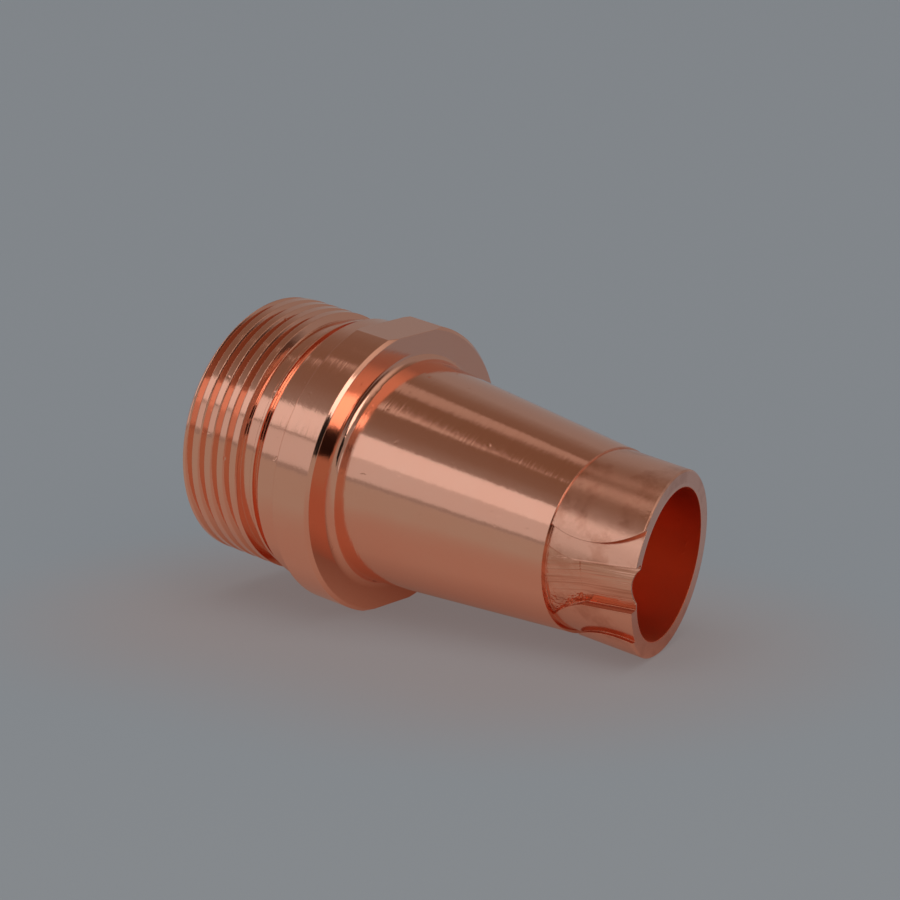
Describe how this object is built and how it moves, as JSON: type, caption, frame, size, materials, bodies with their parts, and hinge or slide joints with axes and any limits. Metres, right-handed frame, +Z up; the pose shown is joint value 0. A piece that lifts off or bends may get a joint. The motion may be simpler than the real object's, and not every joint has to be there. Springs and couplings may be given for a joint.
{
  "type": "laser welding nozzle",
  "caption": "Copper nozzle for a hand-held laser welder: threaded end, wrench flange, tapered barrel and a slanted tip with a wire groove.",
  "frame": {"origin": "middle of the underside of the overall box, on the table that the nozzle lies on", "axes": "+X points from the thread end to the tip, +Z is up, and the wire groove faces -Y. The nozzle's own axis lies in the XZ plane and dips 8.7 degrees toward the tip, as it rests on one wrench flat and the rim of the tip."},
  "size_m": [0.033, 0.0176, 0.0179],
  "materials": {
    "copper": "polished"
  },
  "bodies": {
    "root": {"welding_nozzle": "copper"}
  },
  "joints": []
}
